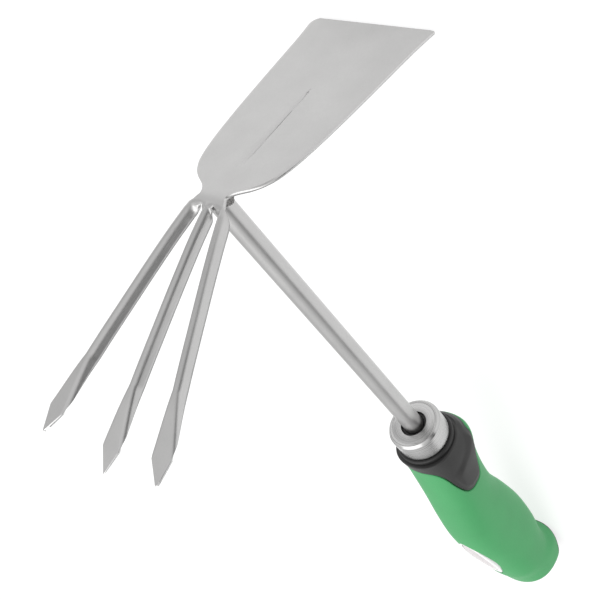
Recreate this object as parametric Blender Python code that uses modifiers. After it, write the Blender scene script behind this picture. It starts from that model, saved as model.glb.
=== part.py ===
"""Hand cultivator: a hoe blade and three tines stamped from one sheet, a round shaft and a moulded handle.

Tool frame: +X runs along the shaft from the handle to the head, with x = 0 at the ferrule's front face.
+Z is the tine side, so the blade hangs below the shaft, and Y is the width. The whole tool is then
tilted and lifted under one empty, so that it lies on a table on its blade edge and its butt, tines up.
All lengths are in metres.
"""

import bpy
import bmesh
from math import atan2, cos, exp, pi, radians, sin, sqrt
from mathutils import Matrix, Vector

# ---------------------------------------------------------------- driving dimensions
MM = 0.001
GAP = 0.3 * MM                # clearance between two pieces that touch

SHEET = 1.6 * MM              # thickness of the head's sheet
BLADE_LENGTH = 96.9 * MM      # shaft centre line to the cutting edge, measured square to the shaft
BLADE_RAKE = 0.1895           # how far the blade leans back to the handle, per unit of its length
NECK_FRONT = 171.7 * MM       # x of the sheet's middle surface at the neck
RIB_DEPTH = 0.9 * MM
RIB_NEAR = 13 * MM
RIB_FAR = 56 * MM

SPINE_WEB = 0.12 * MM         # flat part on each side of the spine of a folded shank
FOLD_RADIUS = 0.9 * MM        # bend radius on the sheet's middle surface; the flanges fold back
FOLD_ANGLE = radians(86)
FOLD_START = 3.6 * MM         # height where the folds begin in the neck
ROOT_HEIGHT = 4.9 * MM        # where the tines part from the neck plate
SLOT_ROUND = 1.0 * MM         # how far the slots' round ends reach below that
ROOT_OFFSET = 8.42 * MM       # an outer tine's spine at its root
SPLAY = 0.249                 # sideways lean of the outer tines per unit of height
OUTER_CORNER_HEIGHT = 89.1 * MM
MIDDLE_CORNER_HEIGHT = 92.2 * MM
POINT_LENGTH = 8.8 * MM       # height from the spear point's corners to its tip
LEAF_LENGTH = 22.4 * MM       # stretch above the corners over which the flat web widens
LEAF_HALF = 4.0 * MM          # half width of the leaf at its corners
CORNER_LIP = 0.3 * MM         # what stays bent at the corners
MIDDLE_TIP_SHARE = 0.35       # sheet thickness left at the tips
OUTER_TIP_SHARE = 0.8

SHAFT_RADIUS = 4.5 * MM
SHAFT_END = 169.4 * MM        # cut end, just behind the neck
TANG_END = -96.0 * MM         # the other end, inside the handle
WELD_FRONT = 170.4 * MM       # the beads fill the corner between the shaft's end and the neck
WELD_RADIUS = 6.6 * MM        # outside of the weld beads, from the shaft's centre line

FERRULE_RADIUS = 12.6 * MM
FERRULE_LENGTH = 11.6 * MM
FERRULE_WALL = 1.5 * MM
FERRULE_BORE = 6.1 * MM
CHAMFER_LENGTH = 1.3 * MM
CHAMFER_DROP = 1.0 * MM

GASKET_RADIUS = 13.8 * MM
GRIP_FRONT = -14.8 * MM       # where the two grip mouldings begin
GRIP_END = -150.5 * MM        # the butt
BUTT_ROUND = 6.0 * MM         # rounding of the butt's rim
SOFT_WALL = 2.2 * MM          # thickness of the dark soft collar
JOINT_GAP = 0.44 * MM         # clearance along X at the butt cap's slanted joint
EDGE_GAP = 0.5 * MM           # clearance between the soft collar and the grip body
CORE_INSET = 4.6 * MM         # the hard core's surface lies this far inside the grip's surface
SECTION_POWER = 2.3           # 2 is an ellipse, more is squarer

PIN_RADIUS = 1.5 * MM
PIN_X = -62.0 * MM

BADGE_CENTRE_X = -107.5 * MM
BADGE_HALF_LENGTH = 21.5 * MM
BADGE_HALF_WIDTH = 7.6 * MM
BADGE_RIM = 1.6 * MM
BADGE_POCKET = 2.2 * MM

AROUND = 44                   # points around a handle section
ROUND = 36                    # points around a turned piece
STRIP_COLUMNS = 8             # faces across one tine
SLOT_COLUMNS = 2              # faces across the sheet between two tine roots
SOFT_STEPS = (0.0, 0.06, 0.2, 0.35, 0.5, 0.65, 0.8, 0.94, 1.0)    # rings along the soft collar

# Handle sections: x, height of the badge side, depth of the blade side, half width, in millimetres.
HANDLE_SECTIONS = [
    (-14.8, 15.1, 13.3, 14.6),    # behind the gasket
    (-24.0, 14.5, 18.4, 15.9),    # finger guard bump on the blade side
    (-36.0, 15.9, 14.8, 15.2),
    (-50.0, 18.0, 12.2, 14.6),    # waist
    (-66.0, 20.7, 11.3, 14.6),
    (-82.0, 22.6, 13.9, 15.0),    # palm swell
    (-98.0, 22.3, 15.7, 15.4),
    (-114.0, 20.3, 15.1, 16.0),
    (-131.0, 18.6, 12.6, 16.7),   # notch in front of the pommel
    (-138.5, 16.9, 17.1, 17.1),   # pommel
    (-150.5, 14.7, 17.3, 17.1),
]

# Blade and neck outline: height above the shaft's centre line (negative is the blade), half width.
PLATE_OUTLINE = [
    (-96.9, 30.9), (-92.0, 30.1), (-84.0, 29.1), (-60.0, 27.3), (-40.0, 25.5), (-24.0, 23.3),
    (-14.0, 20.6), (-9.0, 17.4), (-6.0, 13.8), (-4.2, 10.8), (-2.8, 8.6), (-1.0, 6.9),
    (0.7, 6.5), (2.0, 7.2), (3.6, 8.0), (4.9, 9.0),
]

# Side view of the tines' middle surface: height, x. Both start on the neck.
OUTER_TINE_SIDE = [(4.0, 171.4), (8.0, 171.1), (20.0, 169.05), (40.0, 164.7), (70.0, 157.6), (88.5, 151.65),
                   (98.0, 149.05)]
MIDDLE_TINE_SIDE = [(4.0, 171.4), (8.0, 170.9), (20.0, 168.3), (50.0, 160.1), (75.0, 152.65), (93.0, 145.5),
                    (103.0, 141.6)]

# The strips near their root: height, flat width on one side of the spine, fold in degrees.
OUTER_FLANGE = [(4.9, 0.6, 30), (6.2, 2.0, 62), (8.0, 3.6, 80), (10.0, 4.5, 86), (12.0, 4.7, 86)]
INNER_FLANGE = [(4.9, 3.9, 8), (6.2, 4.3, 50), (7.6, 4.5, 74), (9.2, 4.7, 86), (12.0, 4.7, 86)]
MIDDLE_FLANGE = [(4.9, 2.05, 8), (6.2, 2.9, 55), (7.5, 3.9, 78), (9.0, 4.6, 86), (12.0, 4.7, 86)]


# ---------------------------------------------------------------- scene and materials
def clear_scene():
    for obj in list(bpy.data.objects):
        bpy.data.objects.remove(obj, do_unlink=True)


def make_collection(name):
    collection = bpy.data.collections.new(name)
    bpy.context.scene.collection.children.link(collection)
    return collection


def make_material(name, color, roughness, metallic=0.0):
    material = bpy.data.materials.new(name)
    material.use_nodes = True
    shader = material.node_tree.nodes["Principled BSDF"]
    shader.inputs["Base Color"].default_value = (*color, 1.0)
    shader.inputs["Roughness"].default_value = roughness
    shader.inputs["Metallic"].default_value = metallic
    material.diffuse_color = (*color, 1.0)
    return material


def add_object(name, bm, material, collection, smooth_angle=32.0):
    """Turn a closed bmesh into a named object with outward faces and smooth round sides."""
    bmesh.ops.recalc_face_normals(bm, faces=bm.faces)
    mesh = bpy.data.meshes.new(name)
    bm.to_mesh(mesh)
    bm.free()
    mesh.materials.append(material)
    mesh.shade_smooth()
    mesh.set_sharp_from_angle(angle=radians(smooth_angle))
    obj = bpy.data.objects.new(name, mesh)
    collection.objects.link(obj)
    return obj


def cut(obj, cutter, name):
    """Subtract a closed cutter, with the exact solver."""
    modifier = obj.modifiers.new(name, "BOOLEAN")
    modifier.operation = "DIFFERENCE"
    modifier.solver = "EXACT"
    modifier.object = cutter


def as_cutter(obj):
    obj.hide_render = True
    obj.display_type = "WIRE"
    return obj


# ---------------------------------------------------------------- curves through a few points
def smooth_value(points, at, column=1):
    """Cubic through points sorted by their first value, with slopes taken from the neighbours."""
    keys = [p[0] for p in points]
    values = [p[column] for p in points]
    if keys[0] > keys[-1]:
        keys.reverse()
        values.reverse()
    at = min(max(at, keys[0]), keys[-1])
    i = max(j for j in range(len(keys) - 1) if keys[j] <= at)

    def slope(j):
        low, high = max(j - 1, 0), min(j + 1, len(keys) - 1)
        return (values[high] - values[low]) / (keys[high] - keys[low])

    step = keys[i + 1] - keys[i]
    t = (at - keys[i]) / step
    start, end = slope(i) * step, slope(i + 1) * step
    return ((2 * t**3 - 3 * t**2 + 1) * values[i] + (t**3 - 2 * t**2 + t) * start
            + (3 * t**2 - 2 * t**3) * values[i + 1] + (t**3 - t**2) * end)


def ease(t):
    """Smooth step from 0 to 1."""
    t = min(max(t, 0.0), 1.0)
    return t * t * (3 - 2 * t)


# ---------------------------------------------------------------- closed bodies from rings
def bridge(bm, ring_a, ring_b):
    count = len(ring_a)
    for i in range(count):
        j = (i + 1) % count
        bm.faces.new((ring_a[i], ring_a[j], ring_b[j], ring_b[i]))


def body_of_rings(rings, closed_loop):
    """Join rings of points into one closed body.

    With closed_loop the last ring joins the first, which makes a tube with walls. Otherwise the first and
    the last ring are each capped by a fan to their middle.
    """
    bm = bmesh.new()
    rows = [[bm.verts.new(point) for point in ring] for ring in rings]
    for row_a, row_b in zip(rows, rows[1:]):
        bridge(bm, row_a, row_b)
    if closed_loop:
        bridge(bm, rows[-1], rows[0])
    else:
        for row in (rows[0], rows[-1]):
            middle = bm.verts.new(sum((vert.co for vert in row), Vector()) / len(row))
            for i, vert in enumerate(row):
                bm.faces.new((vert, row[(i + 1) % len(row)], middle))
    return bm


def circle_x(x, radius, count=ROUND, middle=(0.0, 0.0)):
    """Circle about the shaft's centre line."""
    angles = [2 * pi * i / count for i in range(count)]
    return [Vector((x, middle[0] - radius * sin(a), middle[1] + radius * cos(a))) for a in angles]


def turned(profile, closed_loop=True, count=ROUND):
    """Turned piece on the X axis from (x, radius) points."""
    return body_of_rings([circle_x(x, radius, count) for x, radius in profile], closed_loop)


# ---------------------------------------------------------------- handle surface
def signed_power(value, power):
    return (1 if value >= 0 else -1) * abs(value) ** power


def handle_point(x, angle, inset=0.0):
    """Point on the handle's surface. The angle starts at the badge side (+Z) and turns to -Y."""
    key = x / MM
    top = smooth_value(HANDLE_SECTIONS, key, 1) * MM
    bottom = smooth_value(HANDLE_SECTIONS, key, 2) * MM
    half_width = smooth_value(HANDLE_SECTIONS, key, 3) * MM
    left = BUTT_ROUND - (x - GRIP_END)
    if left > 0:
        inset += BUTT_ROUND - sqrt(max(BUTT_ROUND**2 - left**2, 0.0))
    power = 2 / SECTION_POWER
    y = -(half_width - inset) * signed_power(sin(angle), power)
    z = (top - bottom) / 2 + ((top + bottom) / 2 - inset) * signed_power(cos(angle), power)
    return Vector((x, y, z))


def around():
    return [2 * pi * i / AROUND for i in range(AROUND)]


def soft_edge(angle):
    """x of the soft collar's rear edge: close behind the gasket, with a tongue down each side."""
    side_angle = angle if angle <= pi else 2 * pi - angle
    from_tongue = side_angle - radians(92)
    spread, power = (radians(33), 4) if from_tongue > 0 else (radians(45), 3)
    return (-21.0 - 25.5 * exp(-(abs(from_tongue) / spread) ** power)) * MM


def body_edge(angle):
    """x where the grip body meets the soft collar, a true gap away even where the edge is steep."""
    step = 0.01
    slope = (soft_edge(angle + step) - soft_edge(angle - step)) / (2 * step * 15 * MM)
    return soft_edge(angle) - EDGE_GAP * sqrt(1 + slope**2)


def cap_plane(z):
    """x of the slanted joint between the grip body and the butt cap at height z."""
    return -137.0 * MM - (z + 16.0 * MM)


def cap_edge(angle, offset, inset=0.0):
    """Point where the handle's surface meets the slanted joint, moved by offset along X."""
    x = cap_plane(0.0)
    for _ in range(24):
        step = max(cap_plane(handle_point(x, angle, inset).z), GRIP_END + 0.8 * MM) + offset
        x = (x + step) / 2
    return handle_point(x, angle, inset)


def handle_ring(x_of_angle, inset):
    return [handle_point(x_of_angle(a), a, inset) for a in around()]


# ---------------------------------------------------------------- head
def plate_half_width(height, far_side):
    half = smooth_value(PLATE_OUTLINE, height / MM) * MM
    corner = 4.5 * MM if far_side else 1.0 * MM
    into_corner = -height - (BLADE_LENGTH - corner)
    if into_corner > 0:
        half -= corner - sqrt(max(corner**2 - into_corner**2, 0.0))
    return half


def plate_x(height):
    """Middle surface of the blade and neck in side view."""
    straight = NECK_FRONT + BLADE_RAKE * height
    if height < -4 * MM:
        return straight
    over = smooth_value(OUTER_TINE_SIDE, max(height / MM, 4.0)) * MM
    return straight + (over - straight) * ease((height + 4 * MM) / (8 * MM))


def rib_drop(height, y):
    """The rib is pressed back: a groove in front, a ridge behind, wider and shallower at the neck."""
    if not RIB_NEAR < -height < RIB_FAR:
        return 0.0
    fade = ease((-height - RIB_NEAR) / (12 * MM)) * ease((RIB_FAR + height) / (1.5 * MM))
    half = (1.6 + 1.4 * (1 - ease((-height - RIB_NEAR) / (25 * MM)))) * MM
    return RIB_DEPTH * fade * max(0.0, 1 - abs(y) / half)


def folded_offset(along, web, fold):
    """Place of a strip's point, sideways and behind its spine: a flat web, a bend, a straight flange."""
    reach = abs(along)
    turn = min(max(reach - web, 0.0) / FOLD_RADIUS, fold)
    rest = max(reach - web - FOLD_RADIUS * turn, 0.0)
    side = min(reach, web) + FOLD_RADIUS * sin(turn) + rest * cos(turn)
    back = FOLD_RADIUS * (1 - cos(turn)) + rest * sin(turn)
    return (side if along >= 0 else -side), back


def flange_at(side, towards, height):
    """Flat width and fold on one side of a tine's spine: both grow at the root, where the slots begin."""
    if side == 0:
        table = MIDDLE_FLANGE
    else:
        table = OUTER_FLANGE if side * towards > 0 else INNER_FLANGE
    return smooth_value(table, height / MM) * MM, radians(smooth_value(table, height / MM, 2))


def strip_section(near, far, web):
    """(sideways, back) of the points across a folded strip, from its -Y edge to its +Y edge."""
    steps = [(2 * abs(i) / STRIP_COLUMNS) ** 1.3 for i in range(STRIP_COLUMNS // 2 + 1)]
    sides = []
    for sign, (half, fold) in ((-1, near), (1, far)):
        sides.append([folded_offset(sign * half * step, web, fold) for step in steps])
    return sides[0][::-1] + sides[1][1:]


def root_section(side):
    """A tine's section where it parts from the neck: (y, back)."""
    flanges = [flange_at(side, towards, ROOT_HEIGHT) for towards in (-1, 1)]
    return [(side * ROOT_OFFSET + sideways, back) for sideways, back in strip_section(*flanges, SPINE_WEB)]


def plate_columns():
    """Columns across the plate: y at the root from -1 to 1, how far into a slot's round end, fold depth."""
    sections = [root_section(side) for side in (-1, 0, 1)]
    half = sections[-1][-1][0]
    columns = []
    for i, section in enumerate(sections):
        columns += [(y / half, 0.0, back) for y, back in section]
        if i < 2:
            (low, low_back), (high, high_back) = section[-1], sections[i + 1][0]
            for t in [j / SLOT_COLUMNS for j in range(1, SLOT_COLUMNS)]:
                up = SLOT_ROUND * (4 * (t - t * t)) ** 0.4
                columns.append(((low + (high - low) * t) / half, up, low_back + (high_back - low_back) * t))
    return columns


def plate_point(u, up_into_slot, back, height):
    """Point of the middle surface; u runs from -1 on the near side to 1 on the far side."""
    to_root = max(height - FOLD_START, 0.0) / (ROOT_HEIGHT - FOLD_START)
    height -= up_into_slot * to_root
    y = u * plate_half_width(height, far_side=u > 0)
    return Vector((plate_x(height) - rib_drop(height, y) - back * ease(to_root), y, height))


def plate_heights():
    edge = [-96.9, -96.6, -95.8, -94.4, -92.4]
    blade = [-84, -76, -68, -61, -56.5, -54, -48, -42, -36, -30, -25, -21, -17, -14, -11.5, -9, -7, -5.5]
    neck = [-4.2, -3.2, -2.0, -0.6, 0.8, 2.2, 3.6, 4.3]
    return [h * MM for h in edge + blade + neck] + [ROOT_HEIGHT]


def tine_spine(side, height):
    """Point and directions of a tine's spine; side is -1, 0 or 1 for -Y, middle and +Y."""
    table = MIDDLE_TINE_SIDE if side == 0 else OUTER_TINE_SIDE

    def place(h):
        x = smooth_value(table, h / MM) * MM
        return Vector((x, side * (ROOT_OFFSET + SPLAY * (h - ROOT_HEIGHT)), h))

    point = place(height)
    ahead = (place(height + 1 * MM) - place(height - 1 * MM)).normalized()
    turn_in = ease((height - ROOT_HEIGHT) / (8 * MM))
    across = Vector((0, 1, 0)).lerp(Vector((1, 0, 0)).cross(ahead) * -1, turn_in).normalized()
    forward = across.cross(ahead).normalized()
    if forward.x < 0:
        forward.negate()
    return point, across, forward


def tine_rows(side):
    """Rows along a tine: height, flat web, (flat width, fold) on each side, share of the thickness."""
    corner = MIDDLE_CORNER_HEIGHT if side == 0 else OUTER_CORNER_HEIGHT
    tip = MIDDLE_TIP_SHARE if side == 0 else OUTER_TIP_SHARE
    root = [h * MM for h in (5.5, 6.2, 7.0, 7.8, 9.0, 10.4, 12.0)]
    along = (0.1, 0.22, 0.34, 0.46, 0.58, 0.68, 0.74, 0.79, 0.84, 0.89, 0.94, 1.0)
    rows = []
    for height in root + [root[-1] + (corner - root[-1]) * t for t in along]:
        leaf = max(0.0, 1 - (corner - height) / LEAF_LENGTH)
        web = max(SPINE_WEB, (LEAF_HALF - CORNER_LIP) * leaf)
        flanges = []
        for towards in (-1, 1):
            half, fold = flange_at(side, towards, height)
            flanges.append((half + (LEAF_HALF - half) * leaf, fold))
        rows.append((height, web, flanges, 1.0))
    for t in (0.25, 0.5, 0.75, 0.96):
        half = LEAF_HALF * (1 - t)
        rows.append((corner + POINT_LENGTH * t, half - CORNER_LIP * (1 - t), [(half, FOLD_ANGLE)] * 2,
                     1 - (1 - tip) * t))
    return rows


def build_head(material, collection):
    """One open middle surface, blade to tine points, made solid with Solidify."""
    bm = bmesh.new()
    thin = bm.verts.layers.deform.verify()
    columns = plate_columns()
    rows = [[bm.verts.new(plate_point(*column, height)) for column in columns] for height in plate_heights()]
    for row_a, row_b in zip(rows, rows[1:]):
        for i in range(len(columns) - 1):
            bm.faces.new((row_a[i], row_a[i + 1], row_b[i + 1], row_b[i]))
    for vert in bm.verts:
        vert[thin][0] = 1.0
    for vert in rows[0]:
        vert[thin][0] = 0.3
    for side in (-1, 0, 1):
        start = (side + 1) * (STRIP_COLUMNS + SLOT_COLUMNS)
        below = rows[-1][start:start + STRIP_COLUMNS + 1]
        for height, web, flanges, thickness in tine_rows(side):
            point, across, forward = tine_spine(side, height)
            row = []
            for sideways, back in strip_section(*flanges, web):
                row.append(bm.verts.new(point + across * sideways - forward * back))
                row[-1][thin][0] = thickness
            for i in range(STRIP_COLUMNS):
                bm.faces.new((below[i], below[i + 1], row[i + 1], row[i]))
            below = row
    mesh = bpy.data.meshes.new("head")
    bm.to_mesh(mesh)
    bm.free()
    mesh.materials.append(material)
    mesh.shade_smooth()
    head = bpy.data.objects.new("head", mesh)
    head.vertex_groups.new(name="sheet_thickness")
    collection.objects.link(head)
    solidify = head.modifiers.new("sheet", "SOLIDIFY")
    solidify.thickness = SHEET
    solidify.offset = 0.0
    solidify.use_even_offset = True
    solidify.vertex_group = "sheet_thickness"
    solidify.thickness_vertex_group = 0.0
    return head


# ---------------------------------------------------------------- shaft and welds
def build_shaft(material, collection, pin_cutter):
    chamfer = 0.5 * MM
    profile = [(SHAFT_END, SHAFT_RADIUS - chamfer), (SHAFT_END - chamfer, SHAFT_RADIUS)]
    profile += [(x * MM, SHAFT_RADIUS) for x in (110, 50, 0, -50)]
    profile += [(TANG_END + chamfer, SHAFT_RADIUS), (TANG_END, SHAFT_RADIUS - chamfer)]
    shaft = add_object("shaft", turned(profile, closed_loop=False), material, collection)
    cut(shaft, pin_cutter, "pin_hole")
    return shaft


def build_weld_bead(name, side, material, collection):
    """Fillet of weld along one side of the shaft's end; side is -1 for -Y and 1 for +Y."""
    inner = SHAFT_RADIUS + GAP
    steps = 10
    sections = []
    for i in range(steps + 1):
        turn = radians(-72 + 100 * i / steps)
        swell = 1.0 + 0.06 * (-1) ** i
        size = (WELD_RADIUS - inner) * swell * (0.45 + 0.55 * sin(pi * i / steps))
        ring = []
        profile = [(0.0, 0.0), (0.0, 0.55), (0.0, 1.0), (0.7, 0.86), (1.6, 0.42), (2.3, 0.0)]
        for back, out in profile:
            radius = inner + size * out
            front = WELD_FRONT + BLADE_RAKE * min(1.4 * inner * sin(turn), 0.0)
            ring.append(Vector((front - back * size, side * radius * cos(turn), radius * sin(turn))))
        sections.append(ring)
    return add_object(name, body_of_rings(sections, closed_loop=False), material, collection)


# ---------------------------------------------------------------- ferrule, bush, gasket
def build_ferrule(material, collection):
    inside = FERRULE_RADIUS - FERRULE_WALL
    front_wall = 2.2 * MM
    profile = [
        (-front_wall, FERRULE_BORE), (-0.4 * MM, FERRULE_BORE), (0.0, FERRULE_BORE + 0.4 * MM),
        (0.0, FERRULE_RADIUS - CHAMFER_DROP), (-CHAMFER_LENGTH, FERRULE_RADIUS),
        (-FERRULE_LENGTH + 0.3 * MM, FERRULE_RADIUS), (-FERRULE_LENGTH, FERRULE_RADIUS - 0.3 * MM),
        (-FERRULE_LENGTH, inside), (-front_wall, inside),
    ]
    return add_object("ferrule", turned(profile), material, collection)


def build_shaft_bush(material, collection):
    """Thin sleeve between the shaft and the ferrule's hole."""
    inner = SHAFT_RADIUS + GAP
    outer = FERRULE_BORE - GAP
    profile = [(-2.3 * MM, inner), (-1.3 * MM, inner), (-1.1 * MM, inner + 0.2 * MM), (-1.1 * MM, outer),
               (-2.3 * MM, outer)]
    return add_object("shaft_bush", turned(profile), material, collection)


def build_neck_gasket(material, collection):
    inner = FERRULE_RADIUS - FERRULE_WALL
    front = -FERRULE_LENGTH - GAP
    back = GRIP_FRONT + GAP
    profile = [(back, inner), (front, inner), (front, GASKET_RADIUS - 1.1 * MM),
               (front - 0.5 * MM, GASKET_RADIUS - 0.4 * MM), (front - 1.3 * MM, GASKET_RADIUS),
               (back, GASKET_RADIUS - 0.1 * MM)]
    return add_object("neck_gasket", turned(profile), material, collection)


# ---------------------------------------------------------------- handle
def build_handle_core(material, collection, pin_cutter):
    nose = FERRULE_RADIUS - FERRULE_WALL - GAP
    bore = SHAFT_RADIUS + GAP
    rings = [circle_x(TANG_END - GAP, bore, AROUND), circle_x(-2.9 * MM, bore, AROUND),
             circle_x(-2.9 * MM, nose - 1.0 * MM, AROUND), circle_x(-3.9 * MM, nose, AROUND),
             circle_x(GRIP_FRONT + GAP, nose, AROUND)]
    stations = [-14.8, -19, -24, -30, -38, -50, -66, -82, -98, -114, -124, -131]
    rings += [handle_ring(lambda a, x=x: x * MM, CORE_INSET) for x in stations]
    rings.append(handle_ring(lambda a: -133 * MM, CORE_INSET + 2 * MM))
    core = add_object("handle_core", body_of_rings(rings, closed_loop=False), material, collection)
    cut(core, pin_cutter, "pin_hole")
    return core


def build_soft_grip(material, collection):
    """Dark soft collar: a wall between the grip's surface and SOFT_WALL under it."""
    def rings(inset, fractions, round_over):
        made = []
        for s in fractions:
            extra = round_over if s in (0.0, 1.0) else 0.0
            made.append(handle_ring(lambda a, s=s: GRIP_FRONT + (soft_edge(a) - GRIP_FRONT) * s,
                                    inset + extra))
        return made

    outside = rings(0.0, SOFT_STEPS, 0.35 * MM)
    inside = rings(SOFT_WALL, SOFT_STEPS[::-1], 0.0)
    return add_object("soft_grip", body_of_rings(outside + inside, closed_loop=True), material, collection)


def build_grip_body(material, collection, pocket_cutter):
    """Green moulding: steps down under the soft collar, hollow for the core, slanted at the butt."""
    under = SOFT_WALL + EDGE_GAP
    inside = CORE_INSET - GAP
    outside = [handle_ring(lambda a, s=s: GRIP_FRONT + (soft_edge(a) - GRIP_FRONT) * s, under)
               for s in SOFT_STEPS]
    outside.append(handle_ring(body_edge, under))
    outside.append(handle_ring(body_edge, 0.3 * MM))
    ends = [cap_edge(a, JOINT_GAP / 2) for a in around()]
    fractions = (0.01, 0.07, 0.15, 0.23, 0.31, 0.39, 0.47, 0.55, 0.63, 0.71, 0.79, 0.86, 0.92, 0.97, 1.0)
    for s in fractions:
        outside.append([handle_point(body_edge(a) + (end.x - body_edge(a)) * s, a)
                        for a, end in zip(around(), ends)])
    inner_end = [cap_edge(a, JOINT_GAP / 2, inside) for a in around()]
    hollow = [inner_end]
    for x in (-137, -128, -114, -98, -82, -66, -50, -38, -30, -24, -19, -14.8):
        hollow.append(handle_ring(lambda a, x=x: x * MM, inside))
    bm = body_of_rings(outside + hollow, closed_loop=True)
    body = add_object("grip_body", bm, material, collection)
    cut(body, pocket_cutter, "badge_pocket")
    return body


def build_butt_cap(material, collection):
    """Domed end piece behind the slanted joint, with a spigot into the grip body."""
    spigot = CORE_INSET + GAP
    rim = [cap_edge(a, -JOINT_GAP / 2) for a in around()]
    middle = sum(rim, Vector()) / AROUND
    pole = Vector((GRIP_END - 1.0 * MM, 0.0, middle.z))
    dome = []
    for t in (0.85, 0.6, 0.35, 0.12):
        ring = []
        for a, edge in zip(around(), rim):
            spread = pole + (edge - pole) * t
            end_face = handle_point(GRIP_END + 0.2 * MM, a)
            flat = pole + (Vector((GRIP_END, end_face.y, end_face.z)) - pole) * t
            ring.append(Vector((min(spread.x, flat.x + 1.2 * MM * t), flat.y, flat.z)))
        dome.append(ring)
    seat = [cap_edge(a, -JOINT_GAP / 2, spigot) for a in around()]
    plug = [handle_point(point.x + 3.2 * MM, a, spigot + 1.2 * MM) for a, point in zip(around(), seat)]
    rings = dome[::-1] + [rim, seat, plug]
    return add_object("butt_cap", body_of_rings(rings, closed_loop=False), material, collection)


def build_tang_pin(material, collection):
    bm = bmesh.new()
    bmesh.ops.create_cone(bm, cap_ends=True, segments=20, radius1=PIN_RADIUS, radius2=PIN_RADIUS,
                          depth=18.0 * MM, matrix=Matrix.Rotation(radians(90), 4, "X"))
    pin = add_object("tang_pin", bm, material, collection)
    pin.location.x = PIN_X
    return pin


def build_pin_cutter(collection):
    bm = bmesh.new()
    bmesh.ops.create_cone(bm, cap_ends=True, segments=20, radius1=PIN_RADIUS + GAP,
                          radius2=PIN_RADIUS + GAP, depth=60.0 * MM,
                          matrix=Matrix.Rotation(radians(90), 4, "X"))
    cutter = add_object("pin_cutter", bm, bpy.data.materials["pin_steel"], collection)
    cutter.location.x = PIN_X
    return as_cutter(cutter)


# ---------------------------------------------------------------- badge
def badge_frame():
    """Middle of the badge on the handle's surface, and its tilt along the handle."""
    front = handle_point(BADGE_CENTRE_X + BADGE_HALF_LENGTH, 0.0)
    rear = handle_point(BADGE_CENTRE_X - BADGE_HALF_LENGTH, 0.0)
    middle = handle_point(BADGE_CENTRE_X, 0.0)
    tilt = -atan2(front.z - rear.z, front.x - rear.x)
    return middle, tilt


def oval(half_length, half_width, height, count=40):
    """Oval at a height over the badge's seat, bent to follow the handle's palm swell."""
    points = []
    for i in range(count):
        a = 2 * pi * i / count
        x, y = half_length * cos(a), half_width * sin(a)
        sag = 1.5 * MM * (x / BADGE_HALF_LENGTH) ** 2 + 1.2 * MM * (y / BADGE_HALF_WIDTH) ** 2
        points.append(Vector((x, y, height - sag)))
    return points


def place_badge_piece(obj):
    middle, tilt = badge_frame()
    obj.location = middle
    obj.rotation_euler.y = tilt
    return obj


def build_badge(bezel_material, plate_material, collection, cutters):
    seat = -BADGE_POCKET
    pocket = body_of_rings([oval(BADGE_HALF_LENGTH + GAP, BADGE_HALF_WIDTH + GAP, seat),
                            oval(BADGE_HALF_LENGTH + GAP, BADGE_HALF_WIDTH + GAP, 6 * MM)], False)
    cutter = place_badge_piece(as_cutter(add_object("badge_pocket_cutter", pocket, bezel_material, cutters)))
    inner_length = BADGE_HALF_LENGTH - BADGE_RIM
    inner_width = BADGE_HALF_WIDTH - BADGE_RIM
    bezel = body_of_rings([
        oval(BADGE_HALF_LENGTH, BADGE_HALF_WIDTH, seat + GAP),
        oval(BADGE_HALF_LENGTH, BADGE_HALF_WIDTH, 0.5 * MM),
        oval(BADGE_HALF_LENGTH - 0.5 * MM, BADGE_HALF_WIDTH - 0.5 * MM, 0.9 * MM),
        oval(inner_length + 0.3 * MM, inner_width + 0.3 * MM, 0.9 * MM),
        oval(inner_length, inner_width, 0.6 * MM), oval(inner_length, inner_width, seat + GAP)], True)
    place_badge_piece(add_object("badge_bezel", bezel, bezel_material, collection))
    plate = body_of_rings([
        oval(inner_length - GAP, inner_width - GAP, seat + GAP),
        oval(inner_length - GAP, inner_width - GAP, 0.3 * MM),
        oval(0.6 * inner_length, 0.6 * inner_width, 0.5 * MM)], False)
    place_badge_piece(add_object("badge_plate", plate, plate_material, collection))
    return cutter


# ---------------------------------------------------------------- resting place
def rest_on_table(root, parts):
    """Tilt the tool about Y until its blade edge and its butt touch the table, then centre it over 0, 0."""
    bpy.context.view_layer.update()
    graph = bpy.context.evaluated_depsgraph_get()
    points = []
    for obj in parts:
        mesh = obj.evaluated_get(graph).to_mesh()
        points += [obj.matrix_world @ vert.co for vert in mesh.vertices]
        obj.evaluated_get(graph).to_mesh_clear()
    edge = min((p for p in points if p.x > 0), key=lambda p: p.z)
    lean = min(atan2(p.z - edge.z, edge.x - p.x) for p in points if p.x < 0)
    turn = Matrix.Rotation(-lean, 4, "Y")
    turned_points = [turn @ p for p in points]
    low = [min(p[i] for p in turned_points) for i in range(3)]
    high = [max(p[i] for p in turned_points) for i in range(3)]
    root.rotation_euler.y = -lean
    root.location = (-(low[0] + high[0]) / 2, -(low[1] + high[1]) / 2, -low[2])
    for obj in parts:
        obj.parent = root


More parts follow.
